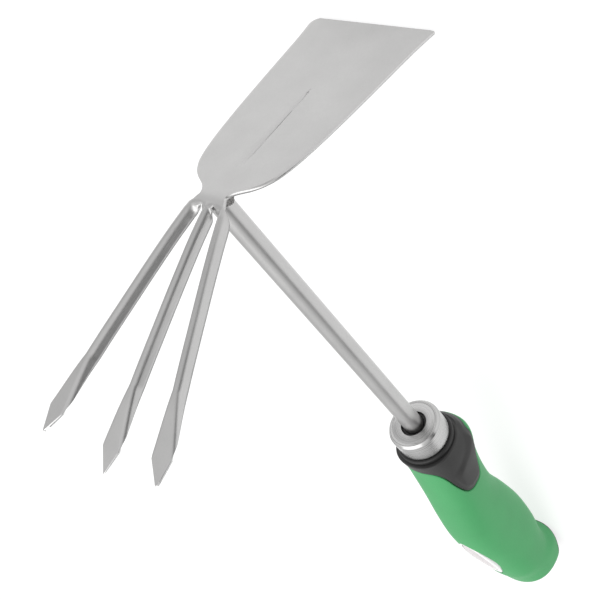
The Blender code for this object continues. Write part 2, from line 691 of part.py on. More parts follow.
def main():
    clear_scene()
    tool = make_collection("hand_cultivator")
    cutters = make_collection("cutters")

    steel = make_material("satin_stainless", (0.62, 0.61, 0.59), 0.32, 1.0)
    turned_steel = make_material("turned_stainless", (0.72, 0.71, 0.69), 0.22, 1.0)
    weld = make_material("weld_metal", (0.16, 0.15, 0.15), 0.6, 1.0)
    pin_steel = make_material("pin_steel", (0.5, 0.5, 0.5), 0.4, 1.0)
    black = make_material("black_rubber", (0.012, 0.012, 0.013), 0.55)
    dark_soft = make_material("dark_soft_grip", (0.055, 0.05, 0.054), 0.6)
    green = make_material("green_grip", (0.09, 0.42, 0.17), 0.42)
    core_plastic = make_material("core_plastic", (0.3, 0.3, 0.3), 0.5)
    badge_rim = make_material("badge_rim", (0.8, 0.8, 0.79), 0.25)
    badge_face = make_material("badge_face", (0.72, 0.69, 0.69), 0.35)
    cap_black = make_material("cap_black", (0.015, 0.015, 0.016), 0.45)

    pin_cutter = build_pin_cutter(cutters)
    pocket_cutter = build_badge(badge_rim, badge_face, tool, cutters)
    build_head(steel, tool)
    build_shaft(steel, tool, pin_cutter)
    build_weld_bead("weld_bead_near", -1, weld, tool)
    build_weld_bead("weld_bead_far", 1, weld, tool)
    build_ferrule(turned_steel, tool)
    build_shaft_bush(black, tool)
    build_neck_gasket(black, tool)
    build_handle_core(core_plastic, tool, pin_cutter)
    build_tang_pin(pin_steel, tool)
    build_grip_body(green, tool, pocket_cutter)
    build_soft_grip(dark_soft, tool)
    build_butt_cap(cap_black, tool)

    root = bpy.data.objects.new("tool_frame", None)
    tool.objects.link(root)
    rest_on_table(root, list(tool.objects)[:-1])
    for cutter in cutters.objects:
        cutter.parent = root


main()
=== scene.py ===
"""Looks of the hand cultivator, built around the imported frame.

Every piece is modelled in the tool's own frame: +X runs along the shaft from the handle to the head, with
x = 0 at the ferrule's front face. +Z is the tine side, so the blade hangs below the shaft, and Y is the
width. tool_frame() reads that frame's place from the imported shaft. All lengths are in metres.
"""

from math import atan2, cos, exp, pi, radians, sin, sqrt

import bmesh
import bpy
from mathutils import Matrix, Vector, noise


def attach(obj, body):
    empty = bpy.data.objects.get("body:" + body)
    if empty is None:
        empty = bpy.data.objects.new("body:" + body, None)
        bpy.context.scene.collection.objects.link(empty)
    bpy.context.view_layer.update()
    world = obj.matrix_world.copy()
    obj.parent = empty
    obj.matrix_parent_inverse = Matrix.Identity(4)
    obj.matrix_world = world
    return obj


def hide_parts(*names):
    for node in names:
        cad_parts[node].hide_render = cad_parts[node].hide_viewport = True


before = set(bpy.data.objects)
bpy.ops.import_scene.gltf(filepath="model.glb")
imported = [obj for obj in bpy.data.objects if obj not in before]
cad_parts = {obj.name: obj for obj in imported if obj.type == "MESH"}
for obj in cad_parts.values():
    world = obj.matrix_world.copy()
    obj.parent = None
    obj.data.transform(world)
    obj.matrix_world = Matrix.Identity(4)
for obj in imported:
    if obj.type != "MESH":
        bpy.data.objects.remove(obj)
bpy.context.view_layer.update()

# ---------------------------------------------------------------- dimensions, as in the CAD source
MM = 0.001
GAP = 0.3 * MM                # clearance between two pieces that touch

SHEET = 1.6 * MM              # thickness of the head's sheet
BLADE_LENGTH = 96.9 * MM      # shaft centre line to the cutting edge, measured square to the shaft
BLADE_RAKE = 0.1895           # the blade's lean back, as x per unit of height
NECK_FRONT = 171.7 * MM
NECK_BEND = 4 * MM            # blade and tines meet in a bend that reaches this far up and down
NEAR_CORNER = 1.0 * MM        # rounding of the cutting edge's two corners
FAR_CORNER = 4.5 * MM
CUTTING_SHARE = 0.3           # share of the thickness left at the cutting edge
EDGE_THINNING = 0.4           # share of the thickness worn off along the blade's sides
EDGE_BAND = 0.05              # how far in from the sides, as a share of the half width
RIB_DEPTH = 0.9 * MM
RIB_NEAR = 13 * MM
RIB_FAR = 56 * MM
RIB_WIDENING = 45 * MM        # stretch over which the rib widens
RIB_DEEPENING = 20 * MM       # stretch over which it gets deeper
RIB_RUN_OUT = 2.5 * MM        # slope at its near end
RIB_SHALLOW = 0.35            # share of the depth at its near end

SPINE_WEB = 0.12 * MM         # flat part on each side of the spine of a folded shank
FOLD_RADIUS = 0.9 * MM        # bend radius on the sheet's middle surface; the flanges fold back
FOLD_ANGLE = radians(86)
FOLD_START = 3.6 * MM         # height where the folds begin in the neck
ROOT_HEIGHT = 4.9 * MM        # where the tines part from the neck plate
SLOT_ROUND = 1.0 * MM         # how far the slots' round ends reach below that
ROOT_OFFSET = 8.42 * MM       # an outer tine's spine at its root
SPLAY = 0.249                 # sideways lean of the outer tines per unit of height
OUTER_CORNER_HEIGHT = 89.1 * MM
MIDDLE_CORNER_HEIGHT = 92.2 * MM
POINT_LENGTH = 8.8 * MM       # height from the spear point's corners to its tip
LEAF_LENGTH = 22.4 * MM       # stretch before the corners over which the flat web widens
LEAF_HALF = 4.0 * MM          # half width of the leaf at its corners
CORNER_LIP = 0.3 * MM         # what stays bent at the corners
ROOT_END = 12 * MM            # height where a tine has its full width and fold
TURN_IN = 8 * MM              # height over which an outer tine's section turns square to its spine
MIDDLE_TIP_SHARE = 0.35       # sheet thickness left at the tips
OUTER_TIP_SHARE = 0.8

SHAFT_RADIUS = 4.5 * MM
SHAFT_END = 169.4 * MM
TANG_END = -96.0 * MM
SHAFT_CHAMFER = 0.5 * MM
WELD_FRONT = 170.4 * MM
WELD_RADIUS = 6.6 * MM
WELD_START = -72              # degrees around the shaft, from its side
WELD_TURN = 100
WELD_REACH = 2.3              # length along the shaft per height on it
WELD_RIPPLES = 9

FERRULE_RADIUS = 12.6 * MM
FERRULE_LENGTH = 11.6 * MM
FERRULE_WALL = 1.5 * MM
FERRULE_BORE = 6.1 * MM
FERRULE_FRONT_WALL = 2.2 * MM
GROOVE_RADIUS = 10.4 * MM     # the fine groove turned into the ferrule's face
GROOVE_HALF = 0.12 * MM
GROOVE_DEPTH = 0.06 * MM
BUSH_FRONT = -1.1 * MM
BUSH_BACK = -2.3 * MM
CHAMFER_LENGTH = 1.3 * MM
CHAMFER_DROP = 1.0 * MM

GASKET_RADIUS = 13.8 * MM
GRIP_FRONT = -14.8 * MM
GRIP_END = -150.5 * MM
BUTT_ROUND = 6.0 * MM
SOFT_WALL = 2.2 * MM
JOINT_GAP = 0.44 * MM
EDGE_GAP = 0.5 * MM
CORE_INSET = 4.6 * MM
LIP_ROUND = 0.3 * MM          # rounding of the two edges at the butt cap's joint
SPIGOT_LENGTH = 3.2 * MM
SPIGOT_TAPER = 1.2 * MM
SECTION_POWER = 2.3           # 2 would be an ellipse
MEAN_RADIUS = 15 * MM         # of the handle, to turn angles into lengths

COLLAR_EDGE_X = -21.0         # the soft collar's rear edge away from its tongues, in millimetres
TONGUE_REACH = 25.5           # how much further the tongues go
TONGUE_ANGLE = radians(92)    # a tongue's centre line, from the badge side
PAD_HEIGHT = 0.8 * MM         # the thumb pad on each tongue
PAD_BORDER = 0.8 * MM         # flat border around it

BADGE_CENTRE_X = -107.5 * MM
BADGE_HALF_LENGTH = 21.5 * MM
BADGE_HALF_WIDTH = 7.6 * MM
BADGE_RIM = 1.6 * MM
BADGE_POCKET = 2.2 * MM
BADGE_SAG_LONG = 1.5 * MM     # how far the badge bends down at its ends and at its sides
BADGE_SAG_WIDE = 1.2 * MM

AROUND = 144                  # points around a handle section
ROUND = 128                   # points around a turned piece
WEB_STEPS = 2                 # faces across half a tine: flat web, bend and flange
BEND_STEPS = 6
FLANGE_STEPS = 3
STRIP_COLUMNS = 2 * (WEB_STEPS + BEND_STEPS + FLANGE_STEPS)
SLOT_COLUMNS = 6              # faces across the sheet between two tine roots
SHARP_ANGLE = radians(38.0)   # steeper edges than this are drawn sharp

# Handle sections: x, height of the badge side, depth of the blade side, half width, in millimetres.
HANDLE_SECTIONS = [
    (-14.8, 15.1, 13.3, 14.6), (-24.0, 14.5, 18.4, 15.9), (-36.0, 15.9, 14.8, 15.2),
    (-50.0, 18.0, 12.2, 14.6), (-66.0, 20.7, 11.3, 14.6), (-82.0, 22.6, 13.9, 15.0),
    (-98.0, 22.3, 15.7, 15.4), (-114.0, 20.3, 15.1, 16.0), (-131.0, 18.6, 12.6, 16.7),
    (-138.5, 16.9, 17.1, 17.1), (-150.5, 14.7, 17.3, 17.1),
]

# Blade and neck outline in millimetres: height above the shaft's centre line (negative is the
# blade), half width.
PLATE_OUTLINE = [
    (-96.9, 30.9), (-92.0, 30.1), (-84.0, 29.1), (-60.0, 27.3), (-40.0, 25.5), (-24.0, 23.3),
    (-14.0, 20.6), (-9.0, 17.4), (-6.0, 13.8), (-4.2, 10.8), (-2.8, 8.6), (-1.0, 6.9),
    (0.7, 6.5), (2.0, 7.2), (3.6, 8.0), (4.9, 9.0),
]

# Side view of the tines' middle surface: height, x, in millimetres. Both start on the neck.
OUTER_TINE_SIDE = [(4.0, 171.4), (8.0, 171.1), (20.0, 169.05), (40.0, 164.7), (70.0, 157.6),
                   (88.5, 151.65), (98.0, 149.05)]
MIDDLE_TINE_SIDE = [(4.0, 171.4), (8.0, 170.9), (20.0, 168.3), (50.0, 160.1), (75.0, 152.65),
                    (93.0, 145.5), (103.0, 141.6)]

# The strips near their root: height, flat width on one side of the spine, fold in degrees. The outer
# flange of a side tine, its inner flange, and both flanges of the middle tine.
OUTER_FLANGE = [(4.9, 0.6, 30), (6.2, 2.0, 62), (8.0, 3.6, 80), (10.0, 4.5, 86), (12.0, 4.7, 86)]
INNER_FLANGE = [(4.9, 3.9, 8), (6.2, 4.3, 50), (7.6, 4.5, 74), (9.2, 4.7, 86), (12.0, 4.7, 86)]
MIDDLE_FLANGE = [(4.9, 2.05, 8), (6.2, 2.9, 55), (7.5, 3.9, 78), (9.0, 4.6, 86), (12.0, 4.7, 86)]


def tool_frame():
    """Matrix from the tool's own frame to the row frame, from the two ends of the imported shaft."""
    points = [vert.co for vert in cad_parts["shaft"].data.vertices]
    head_end = max(points, key=lambda point: point.x)
    tang_end = min(points, key=lambda point: point.x)
    for _ in range(8):
        along = Vector((head_end.x - tang_end.x, 0.0, head_end.z - tang_end.z)).normalized()
        reach = [point.dot(along) for point in points]
        head_end = middle_of([p for p, r in zip(points, reach) if r > max(reach) - 0.1 * MM])
        tang_end = middle_of([p for p, r in zip(points, reach) if r < min(reach) + 0.1 * MM])
    across = Vector((0.0, 1.0, 0.0))
    place = Matrix((along, across, along.cross(across))).transposed().to_4x4()
    place.translation = head_end - along * SHAFT_END
    return place


def middle_of(points):
    """Middle of the box around some points, on the plane y = 0."""
    low, high = ([pick(p[i] for p in points) for i in range(3)] for pick in (min, max))
    return Vector(((low[0] + high[0]) / 2, 0.0, (low[2] + high[2]) / 2))


TOOL = tool_frame()


# ---------------------------------------------------------------- curves through a few points
def smooth_value(points, at, column=1):
    """Cubic through points sorted by their first value, with slopes taken from the neighbours."""
    keys = [p[0] for p in points]
    values = [p[column] for p in points]
    if keys[0] > keys[-1]:
        keys.reverse()
        values.reverse()
    at = min(max(at, keys[0]), keys[-1])
    i = max(j for j in range(len(keys) - 1) if keys[j] <= at)

    def slope(j):
        low, high = max(j - 1, 0), min(j + 1, len(keys) - 1)
        return (values[high] - values[low]) / (keys[high] - keys[low])

    step = keys[i + 1] - keys[i]
    t = (at - keys[i]) / step
    start, end = slope(i) * step, slope(i + 1) * step
    return ((2 * t**3 - 3 * t**2 + 1) * values[i] + (t**3 - 2 * t**2 + t) * start
            + (3 * t**2 - 2 * t**3) * values[i + 1] + (t**3 - t**2) * end)


def ease(t):
    """Smooth step from 0 to 1."""
    t = min(max(t, 0.0), 1.0)
    return t * t * (3 - 2 * t)


def spaced(start, end, count):
    """Evenly spaced values with both ends."""
    return [start + (end - start) * i / count for i in range(count + 1)]


def round_over(radius, steps):
    """(distance from the edge, drop below the surface) along a quarter round, from the edge inwards."""
    turns = [pi / 2 * i / steps for i in range(steps + 1)]
    return [(radius * (1 - cos(turn)), radius * (1 - sin(turn))) for turn in turns]


# ---------------------------------------------------------------- meshes and pieces
def bridge(bm, ring_a, ring_b):
    """Faces between two rings of as many vertices."""
    count = len(ring_a)
    for i in range(count):
        j = (i + 1) % count
        bm.faces.new((ring_a[i], ring_a[j], ring_b[j], ring_b[i]))


def body_of_rings(rings, closed_loop):
    """Join rings of points into one closed body: a tube with walls, or a body capped at both ends."""
    bm = bmesh.new()
    rows = [[bm.verts.new(point) for point in ring] for ring in rings]
    for row_a, row_b in zip(rows, rows[1:]):
        bridge(bm, row_a, row_b)
    if closed_loop:
        bridge(bm, rows[-1], rows[0])
    else:
        for row in (rows[0], rows[-1]):
            middle = bm.verts.new(sum((vert.co for vert in row), Vector()) / len(row))
            for i, vert in enumerate(row):
                bm.faces.new((vert, row[(i + 1) % len(row)], middle))
    return bm


def circle_x(x, radius):
    """Circle about the shaft's centre line."""
    angles = [2 * pi * i / ROUND for i in range(ROUND)]
    return [Vector((x, -radius * sin(a), radius * cos(a))) for a in angles]


def turned(profile, closed_loop=True):
    """Turned piece on the X axis from (x, radius) points."""
    return body_of_rings([circle_x(x, radius) for x, radius in profile], closed_loop)


def rounded_profile(corners):
    """Profile of (x, radius, rounding) corners with each corner cut round in five steps."""
    points = []
    count = len(corners)
    for i, (x, radius, rounding) in enumerate(corners):
        here = Vector((x, radius))
        if rounding == 0:
            points.append((x, radius))
            continue
        before = Vector(corners[i - 1][:2])
        after = Vector(corners[(i + 1) % count][:2])
        start = here + (before - here).normalized() * rounding
        end = here + (after - here).normalized() * rounding
        for t in spaced(0.0, 1.0, 5):
            point = start * (1 - t) ** 2 + here * 2 * t * (1 - t) + end * t**2
            points.append((point.x, point.y))
    return points


def add_piece(name, bm, material, stands_for):
    """Make a piece from a bmesh in the tool's frame: placed, riding on the body, standing for its node."""
    bmesh.ops.recalc_face_normals(bm, faces=bm.faces)
    bm.transform(TOOL)
    mesh = bpy.data.meshes.new(name)
    bm.to_mesh(mesh)
    bm.free()
    mesh.materials.append(material)
    mesh.shade_smooth()
    mesh.set_sharp_from_angle(angle=SHARP_ANGLE)
    piece = bpy.data.objects.new(name, mesh)
    bpy.context.scene.collection.objects.link(piece)
    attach(piece, "root")
    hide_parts(stands_for)
    return piece


# ---------------------------------------------------------------- material nodes
class Nodes:
    """Short calls for building one material's node tree."""

    def __init__(self, name):
        self.material = bpy.data.materials.new(name)
        self.material.use_nodes = True
        self.tree = self.material.node_tree
        self.shader = self.tree.nodes["Principled BSDF"]
        to_tool = TOOL.inverted()
        place = self.tree.nodes.new("ShaderNodeMapping")
        place.inputs["Location"].default_value = to_tool.translation
        place.inputs["Rotation"].default_value = to_tool.to_euler()
        self.link(self.tree.nodes.new("ShaderNodeTexCoord").outputs["Object"], place.inputs["Vector"])
        self.where = place.outputs["Vector"]    # coordinates in the tool's own frame

    def link(self, source, target):
        self.tree.links.new(source, target)

    def feed(self, socket, value):
        """Set a socket from a number, a colour or another node's output."""
        if isinstance(value, bpy.types.NodeSocket):
            self.link(value, socket)
        else:
            socket.default_value = value

    def scaled(self, scale):
        """Coordinates stretched by a different factor on each axis."""
        node = self.tree.nodes.new("ShaderNodeMapping")
        node.inputs["Scale"].default_value = scale
        self.link(self.where, node.inputs["Vector"])
        return node.outputs["Vector"]

    def noise(self, scale, detail=3.0, stretch=(1, 1, 1), roughness=0.5):
        node = self.tree.nodes.new("ShaderNodeTexNoise")
        node.inputs["Scale"].default_value = scale
        node.inputs["Detail"].default_value = detail
        node.inputs["Roughness"].default_value = roughness
        self.link(self.scaled(stretch), node.inputs["Vector"])
        return node.outputs["Fac"]

    def math(self, operation, a, b=0.0):
        node = self.tree.nodes.new("ShaderNodeMath")
        node.operation = operation
        self.feed(node.inputs[0], a)
        self.feed(node.inputs[1], b)
        return node.outputs[0]

    def axis(self, name):
        node = self.tree.nodes.new("ShaderNodeSeparateXYZ")
        self.link(self.where, node.inputs[0])
        return node.outputs[name]

    def ramp(self, value, low, high, out_low=0.0, out_high=1.0):
        """Map a value from one range to another and clamp it."""
        node = self.tree.nodes.new("ShaderNodeMapRange")
        node.inputs["From Min"].default_value = low
        node.inputs["From Max"].default_value = high
        node.inputs["To Min"].default_value = out_low
        node.inputs["To Max"].default_value = out_high
        self.link(value, node.inputs["Value"])
        return node.outputs["Result"]

    def mix(self, factor, color_a, color_b):
        node = self.tree.nodes.new("ShaderNodeMix")
        node.data_type = "RGBA"
        self.feed(node.inputs["Factor"], factor)
        self.feed(node.inputs["A"], color_a)
        self.feed(node.inputs["B"], color_b)
        return node.outputs["Result"]

    def edges(self, low, high):
        """1 on convex edges, where hands and soil rub, 0 elsewhere."""
        geometry = self.tree.nodes.new("ShaderNodeNewGeometry")
        return self.ramp(geometry.outputs["Pointiness"], low, high)

    def bump(self, height, distance, under=None):
        """Surface relief of that depth in metres, added to an earlier one."""
        node = self.tree.nodes.new("ShaderNodeBump")
        node.inputs["Strength"].default_value = 1.0
        node.inputs["Distance"].default_value = distance
        self.link(height, node.inputs["Height"])
        if under is not None:
            self.link(under, node.inputs["Normal"])
        self.link(node.outputs["Normal"], self.shader.inputs["Normal"])
        return node.outputs["Normal"]

    def set(self, **values):
        for name, value in values.items():
            self.feed(self.shader.inputs[name.replace("_", " ").title()], value)


def grey(value, warmth=0.0):
    """Neutral colour, a little warmer where warmth is above 0."""
    return (value * (1 + warmth), value, value * (1 - warmth), 1.0)


def satin_steel():
    """Satin-polished stainless: cloudy polish, and fine scratches along the head's height."""
    nodes = Nodes("satin_steel_look")
    cloud = nodes.noise(70, 3)
    streaks = nodes.noise(4000, 2, stretch=(1, 1, 0.04))
    color = nodes.mix(nodes.ramp(cloud, 0.3, 0.7), grey(0.49, 0.006), grey(0.53, 0.006))
    color = nodes.mix(nodes.ramp(streaks, 0.35, 0.65, 0.0, 0.25), color, grey(0.45, 0.006))
    polish = nodes.ramp(cloud, 0.3, 0.7, 0.3, 0.34)
    rough = nodes.math("ADD", polish, nodes.ramp(streaks, 0.3, 0.7, -0.03, 0.03))
    nodes.set(base_color=color, metallic=1.0, roughness=rough)
    relief = nodes.bump(streaks, 0.001 * MM)
    nodes.bump(nodes.noise(35, 1), 0.04 * MM, relief)
    return nodes.material


def cut_edge_painted_highlight():
    """Tumbled cut edges of the sheet: base colour painted brighter than its faces, a painted reflection of
    the pale floor, with fine shear marks across.
    """
    nodes = Nodes("cut_edge_painted_highlight_look")
    marks = nodes.noise(2600, 2, stretch=(0.1, 1, 1))
    # painted highlight: the edges' base colour is lighter than the faces' and stands in for their reflection
    # of the floor
    nodes.set(base_color=nodes.mix(marks, grey(0.54, 0.006), grey(0.64, 0.006)), metallic=1.0)
    nodes.set(roughness=nodes.ramp(marks, 0.3, 0.7, 0.26, 0.36))
    nodes.bump(marks, 0.004 * MM)
    return nodes.material


def turned_steel():
    """Lathe-turned stainless: fine, slightly uneven tool marks around the axis, on the face and the side."""
    nodes = Nodes("turned_steel_look")
    pitch = 0.32 * MM
    y, z = nodes.axis("Y"), nodes.axis("Z")
    radius = nodes.math("SQRT", nodes.math("ADD", nodes.math("MULTIPLY", y, y), nodes.math("MULTIPLY", z, z)))
    along = nodes.axis("X")
    rings = nodes.math("SINE", nodes.math("MULTIPLY", nodes.math("ADD", radius, along), 2 * pi / pitch))
    wander = nodes.tree.nodes.new("ShaderNodeTexNoise")
    wander.noise_dimensions = "1D"
    wander.inputs["Scale"].default_value = 2500
    wander.inputs["Detail"].default_value = 2
    nodes.link(nodes.math("ADD", radius, along), wander.inputs["W"])
    color = nodes.mix(nodes.ramp(wander.outputs["Fac"], 0.3, 0.7), grey(0.44, 0.004), grey(0.56, 0.004))
    nodes.set(base_color=color, metallic=1.0, roughness=nodes.ramp(wander.outputs["Fac"], 0.3, 0.7, 0.2, 0.3))
    relief = nodes.bump(rings, 0.004 * MM)
    nodes.bump(wander.outputs["Fac"], 0.008 * MM, relief)
    return nodes.material


def weld_metal():
    """Weld run: dark scale with brighter grains."""
    nodes = Nodes("weld_metal_look")
    grain = nodes.noise(1500, 4, roughness=0.7)
    color = nodes.mix(nodes.ramp(grain, 0.4, 0.65), grey(0.1, 0.02), grey(0.36, 0.02))
    nodes.set(base_color=color, metallic=0.6, roughness=nodes.ramp(grain, 0.3, 0.7, 0.65, 0.4))
    nodes.bump(grain, 0.25 * MM)
    return nodes.material


def pin_steel():
    """Plain drawn steel pin with fine marks along it."""
    nodes = Nodes("pin_steel_look")
    streaks = nodes.noise(700, 2, stretch=(1, 0.1, 1))
    nodes.set(base_color=nodes.mix(streaks, grey(0.42), grey(0.55)), metallic=1.0)
    nodes.set(roughness=nodes.ramp(streaks, 0.3, 0.7, 0.3, 0.45))
    nodes.bump(streaks, 0.01 * MM)
    return nodes.material


def moulded(name, color, worn_color, roughness, grain_scale, grain_depth, shift=0.12):
    """Moulded plastic or rubber: fine spark-eroded grain, slight mottling, paler rubbed edges."""
    nodes = Nodes(name)
    grain = nodes.noise(grain_scale, 3, roughness=0.6)
    mottle = nodes.noise(60, 3)
    darker = tuple(c * (1 - shift) for c in color[:3]) + (1.0,)
    base = nodes.mix(nodes.ramp(mottle, 0.35, 0.65), darker, color)
    base = nodes.mix(nodes.math("MULTIPLY", nodes.edges(0.52, 0.62), 0.5), base, worn_color)
    nodes.set(base_color=base)
    nodes.set(roughness=nodes.math("ADD", roughness, nodes.ramp(grain, 0.3, 0.7, -0.05, 0.05)))
    relief = nodes.bump(grain, grain_depth)
    nodes.bump(mottle, 0.05 * MM, relief)
    return nodes.material


STEEL = satin_steel()
CUT_EDGE_HIGHLIGHT = cut_edge_painted_highlight()
TURNED_STEEL = turned_steel()
WELD = weld_metal()
PIN_STEEL = pin_steel()
# near-black rubber; on the gasket lip it also serves as painted shade for the recess behind the ferrule
BLACK_RUBBER_AND_SHADE = moulded("black_rubber_and_shade_look", grey(0.005), grey(0.015), 0.5, 2600, 0.02 * MM)
DARK_SOFT = moulded("dark_soft_grip_look", grey(0.018, 0.01), grey(0.045), 0.5, 2200, 0.03 * MM)
GREEN = moulded("green_grip_look", (0.05, 0.335, 0.11, 1), (0.1, 0.44, 0.2, 1), 0.5, 1800, 0.03 * MM, 0.06)
CORE_PLASTIC = moulded("core_plastic_look", grey(0.3), grey(0.36), 0.5, 900, 0.02 * MM)
CAP_BLACK = moulded("cap_black_look", grey(0.015), grey(0.05), 0.42, 2000, 0.02 * MM)
BADGE_RIM_LOOK = moulded("badge_rim_look", grey(0.86), grey(0.95), 0.22, 300, 0.002 * MM, 0.03)
BADGE_FACE_LOOK = moulded("badge_face_look", (0.6, 0.565, 0.57, 1), grey(0.72), 0.3, 400, 0.003 * MM, 0.04)


# ---------------------------------------------------------------- head
def plate_half_width(height, far_side):
    """Half width of the blade and neck, with the cutting edge's corners rounded."""
    half = smooth_value(PLATE_OUTLINE, height / MM) * MM
    corner = FAR_CORNER if far_side else NEAR_CORNER
    into_corner = -height - (BLADE_LENGTH - corner)
    if into_corner > 0:
        half -= corner - sqrt(max(corner**2 - into_corner**2, 0.0))
    return half


def plate_x(height):
    """Middle surface of the blade and neck in side view."""
    straight = NECK_FRONT + BLADE_RAKE * height
    if height < -NECK_BEND:
        return straight
    over = smooth_value(OUTER_TINE_SIDE, height / MM) * MM
    return straight + (over - straight) * ease((height + NECK_BEND) / (2 * NECK_BEND))


def rib_half_width(height):
    """The pressed rib is narrow at its far end and widens towards the neck."""
    return (0.85 + 1.1 * ease((height + RIB_FAR) / RIB_WIDENING)) * MM


def rib_drop(height, y):
    """Depth of the pressed rib, a groove in front with rounded lips and a ridge behind."""
    if not RIB_NEAR < -height < RIB_FAR:
        return 0.0
    half = rib_half_width(height)
    end = RIB_FAR + height
    if end < half:
        half = sqrt(half**2 - (half - end) ** 2)
    across = abs(y) / max(half, 1e-6)
    from_near = -height - RIB_NEAR
    fade = RIB_SHALLOW + (1 - RIB_SHALLOW) * ease(from_near / RIB_DEEPENING)
    fade *= ease(from_near / RIB_RUN_OUT)
    flat, wall = 0.25, 0.9        # the groove's flat bottom and sloping wall, as shares of its half width
    return RIB_DEPTH * fade * (1 - ease((across - flat) / wall))


def folded_offset(along, web, fold):
    """Place of a strip's point, sideways and behind its spine: a flat web, a bend, a straight flange."""
    reach = abs(along)
    turn = min(max(reach - web, 0.0) / FOLD_RADIUS, fold)
    rest = max(reach - web - FOLD_RADIUS * turn, 0.0)
    side = min(reach, web) + FOLD_RADIUS * sin(turn) + rest * cos(turn)
    back = FOLD_RADIUS * (1 - cos(turn)) + rest * sin(turn)
    return (side if along >= 0 else -side), back


def flange_at(side, towards, height):
    """Flat width and fold on one side of a tine's spine: both grow at the root, where the slots begin."""
    if side == 0:
        table = MIDDLE_FLANGE
    else:
        table = OUTER_FLANGE if side * towards > 0 else INNER_FLANGE
    return smooth_value(table, height / MM) * MM, radians(smooth_value(table, height / MM, 2))


def strip_places(half, web, fold):
    """Places across half a strip from its spine: over the flat web, the bend and the flange."""
    bend_end = min(max(web + FOLD_RADIUS * fold, 0.3 * half), web + 0.8 * (half - web))
    return (spaced(0.0, web, WEB_STEPS) + spaced(web, bend_end, BEND_STEPS)[1:]
            + spaced(bend_end, half, FLANGE_STEPS)[1:])


def strip_section(near, far, web):
    """(sideways, back) of the points across a folded strip, from its -Y edge to its +Y edge."""
    sides = []
    for sign, (half, fold) in ((-1, near), (1, far)):
        sides.append([folded_offset(sign * along, web, fold) for along in strip_places(half, web, fold)])
    return sides[0][::-1] + sides[1][1:]


def root_section(side):
    """A tine's section where it parts from the neck: (y, back)."""
    flanges = [flange_at(side, towards, ROOT_HEIGHT) for towards in (-1, 1)]
    return [(side * ROOT_OFFSET + sideways, back) for sideways, back in strip_section(*flanges, SPINE_WEB)]


def plate_columns():
    """Columns across the plate: y at the root from -1 to 1, how far into a slot's round end, fold depth."""
    sections = [root_section(side) for side in (-1, 0, 1)]
    half = sections[-1][-1][0]
    columns = []
    for i, section in enumerate(sections):
        columns += [(y / half, 0.0, back) for y, back in section]
        if i < 2:
            (low, low_back), (high, high_back) = section[-1], sections[i + 1][0]
            for t in spaced(0.0, 1.0, SLOT_COLUMNS)[1:-1]:
                up = SLOT_ROUND * (4 * (t - t * t)) ** 0.4
                columns.append(((low + (high - low) * t) / half, up, low_back + (high_back - low_back) * t))
    return columns


def plate_point(u, up_into_slot, back, height):
    """Point of the middle surface; u runs from -1 on the near side to 1 on the far side."""
    to_root = max(height - FOLD_START, 0.0) / (ROOT_HEIGHT - FOLD_START)
    height -= up_into_slot * to_root
    y = u * plate_half_width(height, far_side=u > 0)
    return Vector((plate_x(height) - rib_drop(height, y) - back * ease(to_root), y, height))


def plate_heights():
    """Heights of the plate's rows, close together at the corners, at the rib's far end and in the neck."""
    corners = spaced(-BLADE_LENGTH / MM, -92.4, 10)
    blade = spaced(-91.4, -57.5, 22)
    rib_end = spaced(-56.2, -52.2, 16)
    rib = spaced(-51, -10, 42)
    neck = spaced(-9.2, ROOT_HEIGHT / MM, 26)
    return [h * MM for h in corners + blade + rib_end + rib + neck]


def tine_spine(side, height):
    """Point and directions of a tine's spine; side is -1, 0 or 1 for -Y, middle and +Y."""
    table = MIDDLE_TINE_SIDE if side == 0 else OUTER_TINE_SIDE

    def place(h):
        x = smooth_value(table, h / MM) * MM
        return Vector((x, side * (ROOT_OFFSET + SPLAY * (h - ROOT_HEIGHT)), h))

    point = place(height)
    ahead = (place(height + 1 * MM) - place(height - 1 * MM)).normalized()
    turn_in = ease((height - ROOT_HEIGHT) / TURN_IN)
    across = Vector((0, 1, 0)).lerp(Vector((1, 0, 0)).cross(ahead) * -1, turn_in).normalized()
    forward = across.cross(ahead).normalized()
    if forward.x < 0:
        forward.negate()
    return point, across, forward


def tine_rows(side):
    """Rows along a tine: height, flat web, (flat width, fold) on each side, share of the thickness."""
    corner = MIDDLE_CORNER_HEIGHT if side == 0 else OUTER_CORNER_HEIGHT
    tip = MIDDLE_TIP_SHARE if side == 0 else OUTER_TIP_SHARE
    rows = []
    for height in spaced(ROOT_HEIGHT, ROOT_END, 24)[1:] + spaced(ROOT_END, corner, 90)[1:]:
        leaf = max(0.0, 1 - (corner - height) / LEAF_LENGTH)
        web = max(SPINE_WEB, (LEAF_HALF - CORNER_LIP) * leaf)
        flanges = []
        for towards in (-1, 1):
            half, fold = flange_at(side, towards, height)
            flanges.append((half + (LEAF_HALF - half) * leaf, fold))
        rows.append((height, web, flanges, 1.0))
    for t in spaced(0.0, 0.96, 14)[1:]:
        half = LEAF_HALF * (1 - t)
        rows.append((corner + POINT_LENGTH * t, half - CORNER_LIP * (1 - t), [(half, FOLD_ANGLE)] * 2,
                     1 - (1 - tip) * t))
    return rows


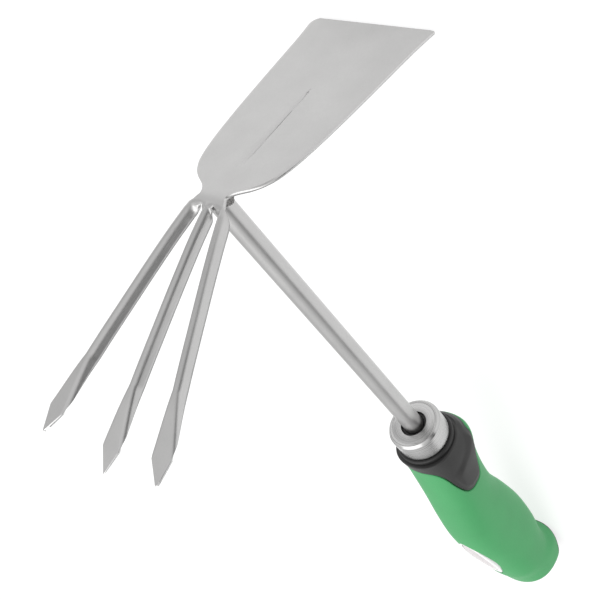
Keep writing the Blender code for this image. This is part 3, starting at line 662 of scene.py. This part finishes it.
def build_head():
    """Blade, neck and tines as one sheet: an open middle surface made solid, with cut edges painted bright as
    a painted highlight.
    """
    bm = bmesh.new()
    thin = bm.verts.layers.deform.verify()
    columns = plate_columns()
    rows = []
    for height in plate_heights():
        rows.append([bm.verts.new(plate_point(*column, height)) for column in columns])
        for (u, _, _), vert in zip(columns, rows[-1]):
            worn = ease((abs(u) - (1 - EDGE_BAND)) / EDGE_BAND) * ease((-height - NECK_BEND) / (6 * MM))
            vert[thin][0] = 1 - EDGE_THINNING * worn
    for row_a, row_b in zip(rows, rows[1:]):
        for i in range(len(columns) - 1):
            bm.faces.new((row_a[i], row_a[i + 1], row_b[i + 1], row_b[i]))
    for vert in rows[0]:
        vert[thin][0] = CUTTING_SHARE
    for side in (-1, 0, 1):
        start = (side + 1) * (STRIP_COLUMNS + SLOT_COLUMNS)
        below = rows[-1][start:start + STRIP_COLUMNS + 1]
        for height, web, flanges, thickness in tine_rows(side):
            point, across, forward = tine_spine(side, height)
            row = []
            for sideways, back in strip_section(*flanges, web):
                row.append(bm.verts.new(point + across * sideways - forward * back))
                row[-1][thin][0] = thickness
            for i in range(STRIP_COLUMNS):
                bm.faces.new((below[i], below[i + 1], row[i + 1], row[i]))
            below = row
    head = add_piece("stamped_head", bm, STEEL, "head")
    # second slot: the cut edges, painted brighter than the faces as a painted highlight
    head.data.materials.append(CUT_EDGE_HIGHLIGHT)
    head.vertex_groups.new(name="sheet_thickness")
    solidify = head.modifiers.new("sheet", "SOLIDIFY")
    solidify.thickness = SHEET
    solidify.offset = 0.0
    solidify.use_even_offset = True
    solidify.vertex_group = "sheet_thickness"
    solidify.thickness_vertex_group = 0.0
    solidify.material_offset_rim = 1


# ---------------------------------------------------------------- shaft and welds
def build_shaft():
    """Round bar with a rounded front end and a chamfered tang."""
    profile = [(SHAFT_END, SHAFT_RADIUS - SHAFT_CHAMFER), (SHAFT_END - 0.1 * MM, SHAFT_RADIUS - 0.3 * MM),
               (SHAFT_END - 0.3 * MM, SHAFT_RADIUS - 0.1 * MM), (SHAFT_END - SHAFT_CHAMFER, SHAFT_RADIUS)]
    profile += [(x, SHAFT_RADIUS) for x in spaced(SHAFT_END - 2 * MM, TANG_END + 2 * MM, 120)]
    profile += [(TANG_END + SHAFT_CHAMFER, SHAFT_RADIUS), (TANG_END, SHAFT_RADIUS - SHAFT_CHAMFER)]
    add_piece("round_shaft", turned(profile, closed_loop=False), STEEL, "shaft")


def build_weld(name, side, node):
    """Fillet of weld along one side of the shaft's end: overlapping ripples with a rough skin."""
    inner = SHAFT_RADIUS + GAP
    steps = 90
    outs = spaced(0.0, 1.0, 14)
    sections = []
    for i in range(steps + 1):
        turn = radians(WELD_START + WELD_TURN * i / steps)
        ripple = abs(sin(WELD_RIPPLES * pi * i / steps))
        size = (WELD_RADIUS - inner) * (0.45 + 0.55 * sin(pi * i / steps)) * (0.86 + 0.14 * ripple)
        front = WELD_FRONT + BLADE_RAKE * min(1.4 * inner * sin(turn), 0.0)
        ring = [Vector((front, side * inner * cos(turn), inner * sin(turn)))]
        for t in outs:
            bulge = 1 + 0.1 * sin(pi * t)
            rough = 0.12 * MM * noise.noise(Vector((i * 0.35, t * 6, side * 3))) * sin(pi * t)
            radius = inner + size * ((1 - t) * bulge) + rough
            x = front - WELD_REACH * t * bulge * size - rough
            ring.append(Vector((x, side * radius * cos(turn), radius * sin(turn))))
        sections.append(ring)
    add_piece(name, body_of_rings(sections, closed_loop=False), WELD, node)


# ---------------------------------------------------------------- ferrule, bush, gasket
def build_ferrule():
    """Turned cap: a fine groove on its face, a chamfered rim, a broken corner at the back."""
    inside = FERRULE_RADIUS - FERRULE_WALL
    corners = [(-FERRULE_FRONT_WALL, FERRULE_BORE, 0), (0.0, FERRULE_BORE, 0.4 * MM)]
    corners += [(0.0, GROOVE_RADIUS - GROOVE_HALF, 0), (-GROOVE_DEPTH, GROOVE_RADIUS, 0),
                (0.0, GROOVE_RADIUS + GROOVE_HALF, 0)]
    corners += [(0.0, FERRULE_RADIUS - CHAMFER_DROP, 0.15 * MM), (-CHAMFER_LENGTH, FERRULE_RADIUS, 0.2 * MM),
                (-FERRULE_LENGTH, FERRULE_RADIUS, 0.4 * MM), (-FERRULE_LENGTH, inside, 0),
                (-FERRULE_FRONT_WALL, inside, 0)]
    bm = turned(rounded_profile(corners))
    add_piece("turned_ferrule", bm, TURNED_STEEL, "ferrule")


def build_shaft_bush():
    """Dark ring set back in the ferrule's hole, around the shaft."""
    inner = SHAFT_RADIUS + GAP
    outer = FERRULE_BORE - GAP
    corners = [(BUSH_BACK, inner, 0), (BUSH_FRONT, inner, 0.2 * MM), (BUSH_FRONT, outer, 0.1 * MM),
               (BUSH_BACK, outer, 0)]
    bm = turned(rounded_profile(corners))
    add_piece("bush_ring", bm, BLACK_RUBBER_AND_SHADE, "shaft_bush")


def build_neck_gasket():
    """Black lip behind the ferrule, rounded in front: black rubber whose near-black colour is also painted
    shade for the recess between ferrule and collar.
    """
    inner = FERRULE_RADIUS - FERRULE_WALL
    front = -FERRULE_LENGTH - GAP
    back = GRIP_FRONT + GAP
    corners = [(back, inner, 0), (front, inner, 0.1 * MM), (front, GASKET_RADIUS, 1.1 * MM),
               (back, GASKET_RADIUS - 0.1 * MM, 0.2 * MM)]
    bm = turned(rounded_profile(corners))
    # painted shade: the near-black lip fills the shaded recess between the ferrule and the collar
    add_piece("gasket_lip", bm, BLACK_RUBBER_AND_SHADE, "neck_gasket")


# ---------------------------------------------------------------- handle surface
def signed_power(value, power):
    """Power of a value's size that keeps its sign."""
    return (1 if value >= 0 else -1) * abs(value) ** power


def handle_point(x, angle, inset=0.0):
    """Point on the handle's surface. The angle starts at the badge side (+Z) and turns to -Y."""
    key = x / MM
    top = smooth_value(HANDLE_SECTIONS, key, 1) * MM
    bottom = smooth_value(HANDLE_SECTIONS, key, 2) * MM
    half_width = smooth_value(HANDLE_SECTIONS, key, 3) * MM
    left = BUTT_ROUND - (x - GRIP_END)
    if left > 0:
        inset += BUTT_ROUND - sqrt(max(BUTT_ROUND**2 - left**2, 0.0))
    power = 2 / SECTION_POWER
    y = -(half_width - inset) * signed_power(sin(angle), power)
    z = (top - bottom) / 2 + ((top + bottom) / 2 - inset) * signed_power(cos(angle), power)
    return Vector((x, y, z))


def around():
    """Angles of the points around a handle section."""
    return [2 * pi * i / AROUND for i in range(AROUND)]


def handle_ring(x_of_angle, inset_of_angle):
    """Ring on the handle's surface, or under it by an inset."""
    return [handle_point(x_of_angle(a), a, inset_of_angle(a)) for a in around()]


def from_badge_side(angle):
    """Angle away from the badge side, the same for -Y and +Y."""
    return angle if angle <= pi else 2 * pi - angle


def soft_edge(angle):
    """x of the soft collar's rear edge: close behind the gasket, with a tongue down each side."""
    from_tongue = from_badge_side(angle) - TONGUE_ANGLE
    spread, power = (radians(33), 4) if from_tongue > 0 else (radians(45), 3)
    return (COLLAR_EDGE_X - TONGUE_REACH * exp(-(abs(from_tongue) / spread) ** power)) * MM


def edge_stretch(angle):
    """Distance along X per distance square to the collar's edge."""
    step = 0.01
    slope = (soft_edge(angle + step) - soft_edge(angle - step)) / (2 * step * MEAN_RADIUS)
    return sqrt(1 + slope**2)


def pad_relief(x, angle):
    """Height of the thumb pad that stands up from the collar's tongue on each side."""
    side_angle = from_badge_side(angle)
    ridge = (-15.0 - 12.0 * (radians(136) - side_angle) / radians(67)) * MM     # its slanted front end
    rise = ease((ridge - x) / (5 * MM))
    to_edge = (x - soft_edge(angle)) / edge_stretch(angle)
    rim = ease((to_edge - PAD_BORDER) / (3.2 * MM))
    return PAD_HEIGHT * rise * rim * ease((side_angle - radians(52)) / radians(24))


def build_soft_grip():
    """Dark soft collar with rounded edges and a raised thumb pad on each side."""
    rear = round_over(0.6 * MM, 5)
    front = round_over(0.7 * MM, 5)

    def ring(s, drop):
        """Ring between the front round-over (s = 0) and the rear one (s = 1)."""
        def x_at(a):
            start = GRIP_FRONT - front[-1][0]
            end = soft_edge(a) + rear[-1][0] * edge_stretch(a)
            return start + (end - start) * s

        return handle_ring(x_at, lambda a: drop - pad_relief(x_at(a), a))

    outside = [handle_ring(lambda a, d=d: GRIP_FRONT - d, lambda a, h=h: h) for d, h in front]
    outside += [ring(s, 0.0) for s in spaced(0.0, 1.0, 70)[1:]]
    outside += [handle_ring(lambda a, d=d: soft_edge(a) + d * edge_stretch(a), lambda a, h=h: h)
                for d, h in rear[-2::-1]]
    inside = [handle_ring(lambda a, s=s: GRIP_FRONT + (soft_edge(a) - GRIP_FRONT) * s, lambda a: SOFT_WALL)
              for s in spaced(1.0, 0.0, 24)]
    bm = body_of_rings(outside + inside, closed_loop=True)
    add_piece("soft_collar", bm, DARK_SOFT, "soft_grip")


def cap_plane(z):
    """x of the slanted joint between the grip body and the butt cap at height z."""
    return -137.0 * MM - (z + 16.0 * MM)


def cap_edge(angle, offset, inset=0.0):
    """Point where the handle's surface meets the slanted joint, moved by offset along X."""
    x = cap_plane(0.0)
    for _ in range(24):
        step = max(cap_plane(handle_point(x, angle, inset).z), GRIP_END + 0.8 * MM) + offset
        x = (x + step) / 2
    return handle_point(x, angle, inset)


def body_edge(angle, distance=0.0):
    """x of the green body's front edge, or of the line that runs at a distance behind it."""
    return soft_edge(angle) - (EDGE_GAP + distance) * edge_stretch(angle)


def build_grip_body():
    """Green moulding: a sleeve under the soft collar, the palm swell, the pommel and the badge's pocket."""
    under = SOFT_WALL + EDGE_GAP
    hollow = CORE_INSET - GAP
    lip = round_over(0.5 * MM, 5)
    outside = [handle_ring(lambda a, s=s: GRIP_FRONT + (soft_edge(a) - GRIP_FRONT) * s, lambda a: under)
               for s in spaced(0.0, 1.0, 24)]
    outside.append(handle_ring(body_edge, lambda a: under))
    outside += [handle_ring(lambda a, d=d: body_edge(a, d), lambda a, h=h: h) for d, h in lip]
    starts = [body_edge(a, lip[-1][0]) for a in around()]
    joint = [cap_edge(a, JOINT_GAP / 2) for a in around()]
    for s in spaced(0.0, 1.0, 150)[1:]:
        outside.append([handle_point(start + (end.x + LIP_ROUND - start) * s, a)
                        for a, start, end in zip(around(), starts, joint)])
    for t in spaced(0.0, 1.0, 4)[1:]:
        drop = LIP_ROUND * (1 - sqrt(1 - t * t))
        outside.append([handle_point(end.x + LIP_ROUND * (1 - t), a, drop)
                        for a, end in zip(around(), joint)])
    inner = [[cap_edge(a, JOINT_GAP / 2, hollow) for a in around()]]
    for x in spaced(-137 * MM, GRIP_FRONT, 40):
        inner.append(handle_ring(lambda a, x=x: x, lambda a: hollow))
    bm = body_of_rings(outside + inner, closed_loop=True)
    cut_pocket(add_piece("green_body", bm, GREEN, "grip_body"))


def build_butt_cap():
    """Domed end piece behind the slanted joint, with a spigot into the grip body."""
    spigot = CORE_INSET + GAP
    rim = [cap_edge(a, -JOINT_GAP / 2) for a in around()]
    lips = []
    for t in spaced(1.0, 0.0, 4)[:-1]:
        drop = LIP_ROUND * (1 - sqrt(1 - t * t))
        lips.append([handle_point(edge.x - LIP_ROUND * (1 - t), a, drop) for a, edge in zip(around(), rim)])
    middle = sum(rim, Vector()) / AROUND
    pole = Vector((GRIP_END - 1.0 * MM, 0.0, middle.z))
    dome = []
    for t in spaced(0.97, 0.03, 20):
        ring = []
        for a, edge in zip(around(), rim):
            start = edge - Vector((LIP_ROUND, 0.0, 0.0))
            spread = pole + (start - pole) * t
            end_face = handle_point(GRIP_END + 0.2 * MM, a)
            flat = pole + (Vector((GRIP_END, end_face.y, end_face.z)) - pole) * t
            ring.append(Vector((min(spread.x, flat.x + 1.2 * MM * t), flat.y, flat.z)))
        dome.append(ring)
    seat = [cap_edge(a, -JOINT_GAP / 2, spigot) for a in around()]
    plug = [handle_point(point.x + SPIGOT_LENGTH, a, spigot + SPIGOT_TAPER)
            for a, point in zip(around(), seat)]
    rings = dome[::-1] + lips[::-1] + [seat, plug]
    add_piece("end_cap", body_of_rings(rings, closed_loop=False), CAP_BLACK, "butt_cap")


# ---------------------------------------------------------------- badge
def badge_frame():
    """Matrix of the badge's seat on the handle, in the tool's frame."""
    front = handle_point(BADGE_CENTRE_X + BADGE_HALF_LENGTH, 0.0)
    rear = handle_point(BADGE_CENTRE_X - BADGE_HALF_LENGTH, 0.0)
    tilt = -atan2(front.z - rear.z, front.x - rear.x)
    return Matrix.Translation(handle_point(BADGE_CENTRE_X, 0.0)) @ Matrix.Rotation(tilt, 4, "Y")


def oval(half_length, half_width, height):
    """Oval at a height over the badge's seat, bent to follow the handle's palm swell."""
    points = []
    place = badge_frame()
    for a in around():
        x, y = half_length * cos(a), half_width * sin(a)
        sag = BADGE_SAG_LONG * (x / BADGE_HALF_LENGTH) ** 2 + BADGE_SAG_WIDE * (y / BADGE_HALF_WIDTH) ** 2
        points.append(place @ Vector((x, y, height - sag)))
    return points


def cut_pocket(body):
    """Cut the badge's pocket into the grip body and keep the result as its mesh."""
    length, width = BADGE_HALF_LENGTH + GAP, BADGE_HALF_WIDTH + GAP
    bm = body_of_rings([oval(length, width, -BADGE_POCKET), oval(length, width, 6 * MM)], closed_loop=False)
    bmesh.ops.recalc_face_normals(bm, faces=bm.faces)
    bm.transform(TOOL)
    mesh = bpy.data.meshes.new("pocket")
    bm.to_mesh(mesh)
    bm.free()
    cutter = bpy.data.objects.new("pocket", mesh)
    bpy.context.scene.collection.objects.link(cutter)
    modifier = body.modifiers.new("pocket", "BOOLEAN")
    modifier.object = cutter
    bpy.context.view_layer.update()
    cut_mesh = bpy.data.meshes.new_from_object(body.evaluated_get(bpy.context.evaluated_depsgraph_get()))
    body.modifiers.clear()
    body.data = cut_mesh
    bpy.data.objects.remove(cutter)


def build_badge():
    """Silvery rim around a pale, slightly domed blank face."""
    seat = GAP - BADGE_POCKET
    inner_length, inner_width = BADGE_HALF_LENGTH - BADGE_RIM, BADGE_HALF_WIDTH - BADGE_RIM
    rings = [oval(BADGE_HALF_LENGTH, BADGE_HALF_WIDTH, seat)]
    half_rim = BADGE_RIM / 2
    for turn in spaced(0.0, pi, 12):
        inwards = half_rim * (1 - cos(turn))
        height = 0.35 * MM + 0.55 * MM * sin(turn)
        rings.append(oval(BADGE_HALF_LENGTH - inwards, BADGE_HALF_WIDTH - inwards, height))
    rings.append(oval(inner_length, inner_width, seat))
    add_piece("badge_rim", body_of_rings(rings, closed_loop=True), BADGE_RIM_LOOK, "badge_bezel")
    face_length, face_width = inner_length - GAP, inner_width - GAP
    rings = [oval(face_length, face_width, seat), oval(face_length, face_width, 0.15 * MM)]
    for t in spaced(0.98, 0.06, 16):
        height = 0.2 * MM + 0.3 * MM * sqrt(1 - t * t)
        rings.append(oval(face_length * t, face_width * t, height))
    bm = body_of_rings(rings, closed_loop=False)
    add_piece("badge_face", bm, BADGE_FACE_LOOK, "badge_plate")


def dress_cad_nodes():
    """The hidden pieces keep their CAD shape and get their materials."""
    for name, material in (("handle_core", CORE_PLASTIC), ("tang_pin", PIN_STEEL)):
        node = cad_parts[name]
        node.data.materials.clear()
        node.data.materials.append(material)


# ---------------------------------------------------------------- studio
CAMERA_PLACE = Vector((0.45202, -0.32682, 0.14015))     # in the tool's frame
CAMERA_TARGET = Vector((0.1027, 0.0026, 0.0007))
CAMERA_ROLL = radians(-147.78)
CAMERA_LENS = 76.42

FLOOR_SIZE = 8.0
FLOOR_REACH = 0.8             # the table ends this far out on the dark side
DARK_SIDE = Vector((0.1, -0.995, 0.0))
DARK_SHARE = 0.85             # how much darker the studio is there


def build_floor():
    """Pale table that glows white like a light table (painted light), its colour and glow painted dimmer
    towards the dark side of the studio (painted shade).
    """
    bm = bmesh.new()
    bmesh.ops.create_grid(bm, x_segments=1, y_segments=1, size=FLOOR_SIZE / 2)
    bm.transform(Matrix.Rotation(atan2(DARK_SIDE.y, DARK_SIDE.x), 4, "Z"))
    away = FLOOR_SIZE / 2 - FLOOR_REACH
    bm.transform(Matrix.Translation((away * DARK_SIDE.x * -1, away * DARK_SIDE.y * -1, -0.05 * MM)))
    mesh = bpy.data.meshes.new("floor")
    bm.to_mesh(mesh)
    bm.free()
    nodes = Nodes("glowing_floor")
    split = nodes.tree.nodes.new("ShaderNodeSeparateXYZ")
    nodes.link(nodes.tree.nodes.new("ShaderNodeTexCoord").outputs["Object"], split.inputs[0])
    towards = nodes.math("ADD", nodes.math("MULTIPLY", split.outputs["X"], DARK_SIDE.x),
                         nodes.math("MULTIPLY", split.outputs["Y"], DARK_SIDE.y))
    # painted light and shade: the floor's own glow lights the tool from below, and both its glow and its base
    # colour are painted darker towards the dark side
    painted_dimming = nodes.ramp(towards, 0.3, FLOOR_REACH, 1.0, 0.5)
    nodes.set(base_color=nodes.mix(painted_dimming, grey(0.0), grey(0.25)), roughness=0.9, emission_color=grey(1.0))
    nodes.set(emission_strength=nodes.math("MULTIPLY", painted_dimming, 0.78))
    mesh.materials.append(nodes.material)
    floor = bpy.data.objects.new("floor", mesh)
    bpy.context.scene.collection.objects.link(floor)


def add_softbox(name, place, target, size, power):
    """Large round soft light that faces the target."""
    light = bpy.data.lights.new(name, "AREA")
    light.shape = "DISK"
    light.size = size
    light.energy = power
    lamp = bpy.data.objects.new(name, light)
    lamp.location = place
    lamp.rotation_mode = "QUATERNION"
    lamp.rotation_quaternion = (Vector(target) - Vector(place)).to_track_quat("-Z", "Y")
    bpy.context.scene.collection.objects.link(lamp)


def build_sky():
    """Studio walls and ceiling: bright above, darker towards the floor, darkest low on the dark side."""
    world = bpy.data.worlds.new("studio")
    bpy.context.scene.world = world
    world.use_nodes = True
    tree = world.node_tree
    direction = tree.nodes.new("ShaderNodeTexCoord").outputs["Generated"]
    split = tree.nodes.new("ShaderNodeSeparateXYZ")
    tree.links.new(direction, split.inputs[0])

    def ramp(value, low, high, out_low, out_high):
        node = tree.nodes.new("ShaderNodeMapRange")
        node.interpolation_type = "SMOOTHSTEP"
        for name, number in zip(("From Min", "From Max", "To Min", "To Max"), (low, high, out_low, out_high)):
            node.inputs[name].default_value = number
        tree.links.new(value, node.inputs["Value"])
        return node.outputs["Result"]

    def math(operation, a, b):
        node = tree.nodes.new("ShaderNodeMath")
        node.operation = operation
        for socket, value in zip(node.inputs, (a, b)):
            if isinstance(value, bpy.types.NodeSocket):
                tree.links.new(value, socket)
            else:
                socket.default_value = value
        return node.outputs[0]

    height = split.outputs["Z"]
    towards = math("ADD", math("MULTIPLY", split.outputs["X"], DARK_SIDE.x),
                   math("MULTIPLY", split.outputs["Y"], DARK_SIDE.y))
    dark = math("MULTIPLY", ramp(towards, 0.25, 0.95, 0.0, DARK_SHARE), ramp(height, 0.0, 0.5, 1.0, 0.0))
    strength = math("MULTIPLY", ramp(height, -0.1, 0.7, 0.6, 1.0), math("SUBTRACT", 1.0, dark))
    background = tree.nodes["Background"]
    background.inputs["Color"].default_value = (1, 1, 1, 1)
    tree.links.new(strength, background.inputs["Strength"])


def build_camera():
    """Camera at the photograph's angle, set in the tool's frame: before the head, on its near side."""
    data = bpy.data.cameras.new("camera")
    data.lens = CAMERA_LENS
    data.sensor_width = 36.0
    camera = bpy.data.objects.new("camera", data)
    look = (CAMERA_TARGET - CAMERA_PLACE).to_track_quat("-Z", "Y").to_matrix().to_4x4()
    roll = Matrix.Rotation(CAMERA_ROLL, 4, "Z")
    camera.matrix_world = TOOL @ Matrix.Translation(CAMERA_PLACE) @ look @ roll
    bpy.context.scene.collection.objects.link(camera)
    bpy.context.scene.camera = camera


# ---------------------------------------------------------------- the scene
build_camera()
build_head()
build_shaft()
build_weld("near_weld", -1, "weld_bead_near")
build_weld("far_weld", 1, "weld_bead_far")
build_ferrule()
build_shaft_bush()
build_neck_gasket()
build_soft_grip()
build_grip_body()
build_butt_cap()
build_badge()
dress_cad_nodes()
build_floor()
build_sky()
add_softbox("key", (-0.3, -0.2, 1.6), (0, 0, 0.05), 2.2, 16)
bpy.context.scene.view_settings.view_transform = "Standard"
